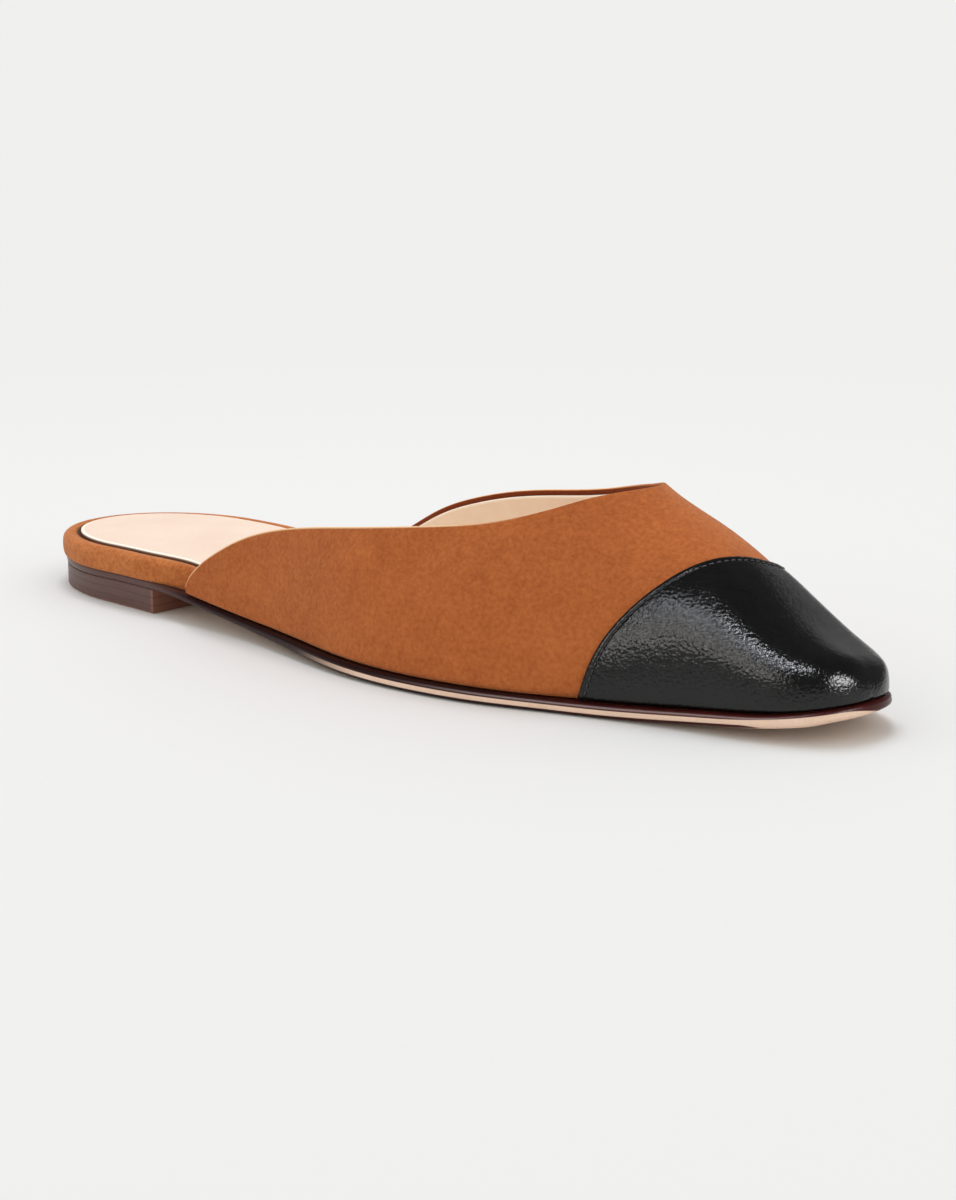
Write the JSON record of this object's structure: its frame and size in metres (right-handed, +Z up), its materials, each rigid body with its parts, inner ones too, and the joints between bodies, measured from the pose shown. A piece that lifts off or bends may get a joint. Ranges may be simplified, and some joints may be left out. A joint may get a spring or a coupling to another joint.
{
  "type": "cap-toe flat",
  "caption": "Flat backless shoe for the right foot: suede upper open at the heel, leather toe cap, thin leather sole and low stacked heel.",
  "frame": {"origin": "on the floor under the centre of the shoe's box", "axes": "+X from the heel to the toe, +Y to the wearer's left, which is the inner side of this right shoe, +Z up"},
  "size_m": [0.2534, 0.0736, 0.0463],
  "materials": {
    "heel": "stacked leather, dark brown, waxed",
    "outsole": "natural leather, smooth, its edge inked dark brown",
    "insole": "suede wrapped round the rim",
    "sock": "smooth pale lining leather",
    "upper": "suede, with a pale leather lining",
    "toe_cap": "grained, semi-gloss black"
  },
  "bodies": {
    "root": {"heel": "heel", "outsole": "outsole", "insole": "insole", "sock": "sock", "upper": "upper", "toe_cap": "toe_cap"}
  },
  "joints": []
}
